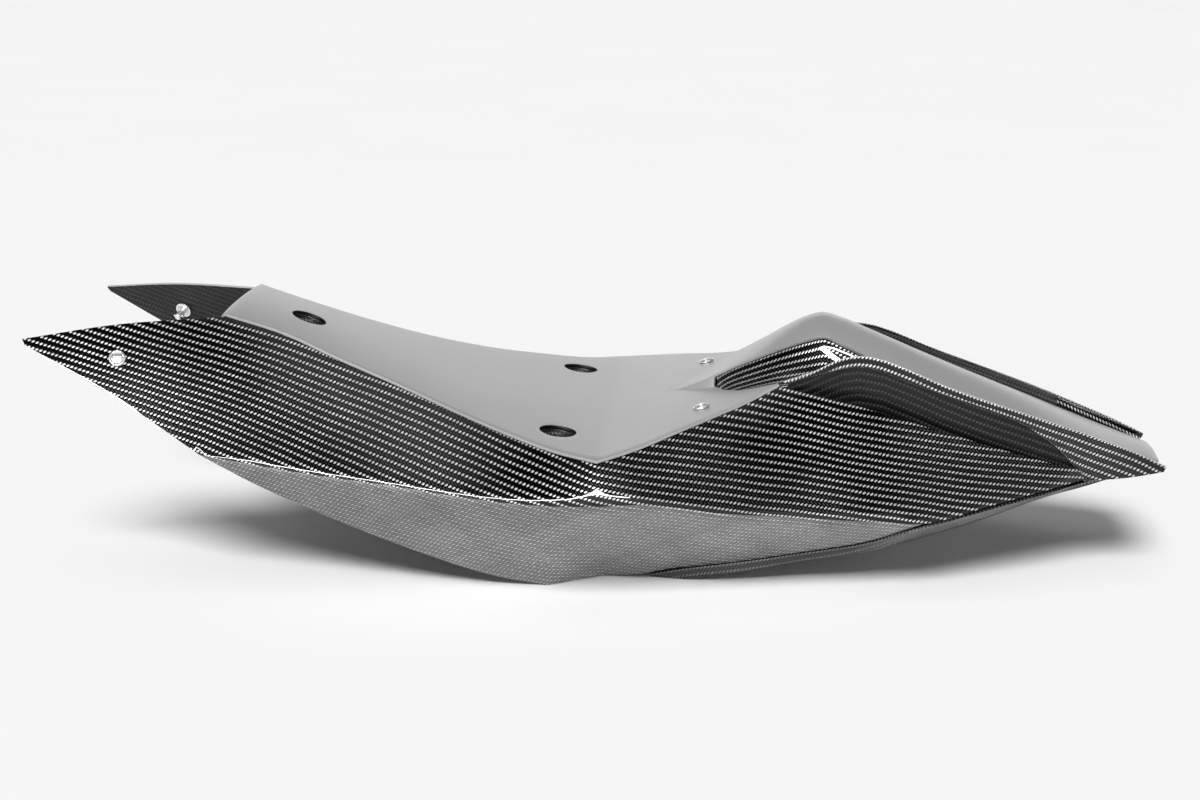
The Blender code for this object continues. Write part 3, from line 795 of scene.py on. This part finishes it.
# ---- scoop and channel liners, fins, duct liners ----
CHANNEL_ROWS, FIN_ROWS, DUCT_WALL_ROWS, DUCT_FLOOR_ROWS = 12, 5, 6, 4
FIN_CORNER = 10                     # control point of the fin's foot where it turns back up
LINER_EDGE_ROUND = 0.3
DUCT_TOP_DROP, DUCT_WALL_DROP, DUCT_FLOOR_DROP = 1.2, 10.0, 8.0
DUCT_CLEARANCE, DUCT_SILL_INSET, DUCT_LEAST_WIDTH = 0.4, 3.2, 2.5
channel_steps = steps_of(CHANNEL_FOOT)
channel_rails = [smooth_rail(points, channel_steps) for points in (CHANNEL_TOP, CHANNEL_FOOT, CHANNEL_EDGE)]
channel_grid = []
for r in range(CHANNEL_ROWS + 1):
    # the wall turns into the floor along a hollow curve that passes close to its foot
    s = r / CHANNEL_ROWS
    channel_grid.append([
        a * (1 - s) ** 2 + (f * 1.5 - (a + b) * 0.25) * 2 * s * (1 - s) + b * s**2
        for a, f, b in zip(*channel_rails)
    ])

fin_steps = steps_of(FIN_TOP)
fin_top_rail = smooth_rail(FIN_TOP, fin_steps)
fin_grid = between(fin_top_rail, smooth_rail(FIN_FOOT, fin_steps, sharp=(FIN_CORNER,)), FIN_ROWS)

duct_wall_top, duct_wall_foot, duct_floor_edge = [], [], []
for x in DUCT_STATIONS:
    fin, sill = at_x(fin_top_rail, x), at_x(top_rail, x)
    wall = fin.y - FIN_WALL - GAP - DUCT_CLEARANCE
    floor_y = max(sill.y - DUCT_SILL_INSET, wall + DUCT_LEAST_WIDTH)
    duct_wall_top.append(Vector((x, wall, fin.z - DUCT_TOP_DROP)))
    duct_wall_foot.append(Vector((x, wall, sill.z - DUCT_WALL_DROP)))
    duct_floor_edge.append(Vector((x, floor_y, sill.z - DUCT_FLOOR_DROP)))
duct_grid = between(duct_wall_top, duct_wall_foot, DUCT_WALL_ROWS)[:-1]
duct_grid += between(duct_wall_foot, duct_floor_edge, DUCT_FLOOR_ROWS)
for key, sign in SIDES:
    skin(
        "channel_" + key, [(channel_grid, flow(channel_grid))], "channel_liner_" + key, CARBON, side=sign,
        thickness=LINER_WALL, inner=INNER, rim=LINER_EDGE_ROUND,
    )
    skin(
        "fin_blade_" + key, [(fin_grid, flow(fin_grid))], "fin_" + key, CARBON, side=sign, thickness=FIN_WALL,
        edge=EDGE_HIGHLIGHT,
    )
    skin(
        "duct_" + key, [(duct_grid, flow(duct_grid))], "duct_liner_" + key, SHADED_DUCT_TWILL, side=sign,
        thickness=LINER_WALL, inner=INNER, rim=LINER_EDGE_ROUND,
    )

# ---- undertray ----
TRAY_WALL_ROWS, TRAY_FLOOR_ROWS = 4, 12
tray_steps = steps_of(TRAY_CORNER)
tray_corner = smooth_rail(TRAY_CORNER, tray_steps)
tray_rim = smooth_rail(TRAY_RIM, tray_steps)
tray_middle = [Vector((p.x, 0, p.z)) for p in tray_corner]
tray_grid = between(tray_rim, tray_corner, TRAY_WALL_ROWS)[:-1]
tray_grid += between(tray_corner, tray_middle, TRAY_FLOOR_ROWS)
skin("tray", [(tray_grid, flow(tray_grid))], "undertray", SHADED_TRAY_TWILL, mirrored=True, inner=INNER)

# ---- access wells: cup, rubber grommet and sleeve, as (radius, height) from the deck's surface ----
cup_top = -WALL - CUP_BOND
cup_floor = cup_top - WELL_DEPTH
cup_outside, flange_edge = WELL_RADIUS + CUP_WALL, WELL_RADIUS + CUP_FLANGE
CUP = [
    (WELL_RADIUS, cup_top), (WELL_RADIUS, cup_floor + CUP_WALL), (SLEEVE_HOLE_RADIUS, cup_floor + CUP_WALL),
    (SLEEVE_HOLE_RADIUS, cup_floor), (cup_outside, cup_floor), (cup_outside, cup_top - CUP_WALL),
    (flange_edge, cup_top - CUP_WALL), (flange_edge, cup_top),
]
RUBBER_RING = [
    (5.3, cup_floor + 4.2), (5.3, cup_floor - 2.2), (10.6, cup_floor - 2.2), (10.6, cup_floor - 0.3),
    (8.0, cup_floor - 0.3), (8.0, cup_floor + 2.3), (10.6, cup_floor + 2.3), (10.6, cup_floor + 4.2),
]
SLEEVE = [
    (3.2, cup_floor + 6.3), (3.2, cup_floor - 3.2), (5.0, cup_floor - 3.2), (5.0, cup_floor + 4.5),
    (8.2, cup_floor + 4.5), (8.2, cup_floor + 6.3),
]
for key, (x, y) in WELLS.items():
    seat = deck_frame(x, y)
    for name, node, profile, material, slot in (
        ("cup_", "well_cup_", CUP, CUP_CARBON, "raw_carbon"),
        ("cup_rubber_", "well_grommet_", RUBBER_RING, RUBBER, "black_rubber"),
        ("cup_sleeve_", "well_sleeve_", SLEEVE, ALLOY, "plain_aluminium"),
    ):
        fit(lathe(name + key, profile, seat, material), node + key, "shell")

# ---- quarter-turn studs, as (radius, height) along the stud's axis ----
GROMMET = [
    (STUD_SHANK_RADIUS + 0.35, 0.55), (STUD_SHANK_RADIUS + 0.35, -4.6), (BARREL_RADIUS, -4.6),
    (BARREL_RADIUS, GAP), (GROMMET_RADIUS, GAP), (GROMMET_RADIUS, 1.1), (5.4, 1.75), (4.7, 1.75), (4.7, 0.55),
]
RETAINER = [(4.7, -3.2), (4.7, -4.6), (6.6, -4.6), (6.6, -3.2)]
STUD = [
    (0, 2.7), (1.6, 2.62), (2.9, 2.4), (STUD_HEAD_RADIUS - 0.5, 2.1), (STUD_HEAD_RADIUS, 1.7),
    (STUD_HEAD_RADIUS, 0.9), (STUD_SHANK_RADIUS, 0.9), (STUD_SHANK_RADIUS, -STUD_LENGTH + 0.8),
    (STUD_SHANK_RADIUS - 0.8, -STUD_LENGTH), (0, -STUD_LENGTH),
]
for place in ("wing_left", "wing_right", "deck_left", "deck_right"):
    seat = seats["stud_" + place]
    eyelet = lathe("eyelet_" + place, GROMMET, seat, STEEL, round_by=0.18)
    fit(eyelet, "stud_grommet_" + place, "shell")
    keeper = lathe("keeper_" + place, RETAINER, seat, STEEL)
    fit(keeper, "stud_retainer_" + place, "shell")
    stud = lathe("fastener_" + place, STUD, seat, STEEL)
    bm = bmesh.new()
    bmesh.ops.create_cube(bm, size=1.0)
    bmesh.ops.scale(bm, vec=Vector(SLOT_SIZE) * MM, verts=bm.verts)
    slot_tool = tool("slot", bm, seat @ Matrix.Translation((0, 0, SLOT_HEIGHT * MM)))
    pin_place = seat @ Matrix.Translation((0, 0, (PIN_ABOVE_TIP - STUD_LENGTH) * MM))
    pin_place = pin_place @ Matrix.Rotation(math.pi / 2, 4, "Y")
    pin_tool = round_tool("pin", PIN_RADIUS, PIN_LENGTH, pin_place, STEEL, segments=24)
    combine(stud, "DIFFERENCE", slot_tool)
    combine(stud, "UNION", pin_tool)
    settle(stud, 50)
    drop(slot_tool, pin_tool)
    fit(stud, "stud_" + place, "stud_" + place)

# ---- floor, world and lights, metres ----
FLOOR_SIZE = 60.0
bm = bmesh.new()
bmesh.ops.create_grid(bm, x_segments=1, y_segments=1, size=FLOOR_SIZE / 2)
t = Tree("pale floor")
cloud = t.noise(t.object_place(), 2.0, 4.0)
t.set(Base_Color=t.mix(cloud, grey(0.80), grey(0.83)), Roughness=0.7, Specular_IOR_Level=0.2)
linked("floor", bm, t.material)

# brightness by the sine of the height above the horizon: pale wall, dark band, bright ceiling
HEIGHTS = ((0.0, 1.0), (0.20, 1.1), (0.34, 0.25), (0.48, 0.03), (0.86, 0.02), (0.96, 0.8))
BACKDROP = 0.9                      # what the camera itself sees past the floor
world = bpy.data.worlds.new("studio")
bpy.context.scene.world = world
world.use_nodes = True
nodes, links = world.node_tree.nodes, world.node_tree.links
nodes.clear()
split = nodes.new("ShaderNodeSeparateXYZ")
links.new(nodes.new("ShaderNodeTexCoord").outputs["Generated"], split.inputs[0])
ramp = nodes.new("ShaderNodeValToRGB")
links.new(split.outputs[2], ramp.inputs[0])
while len(ramp.color_ramp.elements) < len(HEIGHTS):
    ramp.color_ramp.elements.new(0.5)
for element, (height, value) in zip(ramp.color_ramp.elements, HEIGHTS):
    element.position = height
    element.color = (value, value, value, 1)
studio = nodes.new("ShaderNodeBackground")
links.new(ramp.outputs[0], studio.inputs[0])
backdrop = nodes.new("ShaderNodeBackground")
backdrop.inputs[0].default_value = (BACKDROP, BACKDROP, BACKDROP, 1)
both = nodes.new("ShaderNodeMixShader")
links.new(nodes.new("ShaderNodeLightPath").outputs["Is Camera Ray"], both.inputs[0])
links.new(studio.outputs[0], both.inputs[1])
links.new(backdrop.outputs[0], both.inputs[2])
links.new(both.outputs[0], nodes.new("ShaderNodeOutputWorld").inputs[0])


def lamp(name, kind, energy):
    data = bpy.data.lights.new(name, kind)
    data.energy = energy
    ob = bpy.data.objects.new(name, data)
    bpy.context.collection.objects.link(ob)
    return ob


KEY_STRENGTH = 3.7
KEY_HEIGHT, KEY_TURN, KEY_SPREAD = math.radians(50), math.radians(-6), math.radians(24)
key = lamp("key", "SUN", KEY_STRENGTH)
key.data.angle = KEY_SPREAD
key.visible_glossy = False
key.rotation_euler = (math.pi / 2 - KEY_HEIGHT, 0, KEY_TURN)

# long strips that show only as reflections along the folds
STRIP_SHIFT, STRIP_DISTANCE, STRIP_HEIGHT, STRIP_SIZE = -0.6, 2.4, 0.95, (3.4, 0.14)
STRIP_AIM_HEIGHT = 0.1
STRIPS = ((-1, 150), (1, 2.5))      # side and power: the left one, then the right one
for number, (away, power) in enumerate(STRIPS):
    strip = lamp(f"strip_{number}", "AREA", power)
    strip.data.shape = "RECTANGLE"
    strip.data.size, strip.data.size_y = STRIP_SIZE
    strip.location = (STRIP_SHIFT, away * STRIP_DISTANCE, STRIP_HEIGHT)
    aim = Vector((0, -away * STRIP_DISTANCE, STRIP_AIM_HEIGHT - STRIP_HEIGHT))
    strip.rotation_euler = aim.to_track_quat("-Z", "Y").to_euler()
    strip.visible_camera = False
    strip.visible_diffuse = False

bpy.context.scene.view_settings.view_transform = "Standard"
bpy.context.scene.view_settings.look = "None"
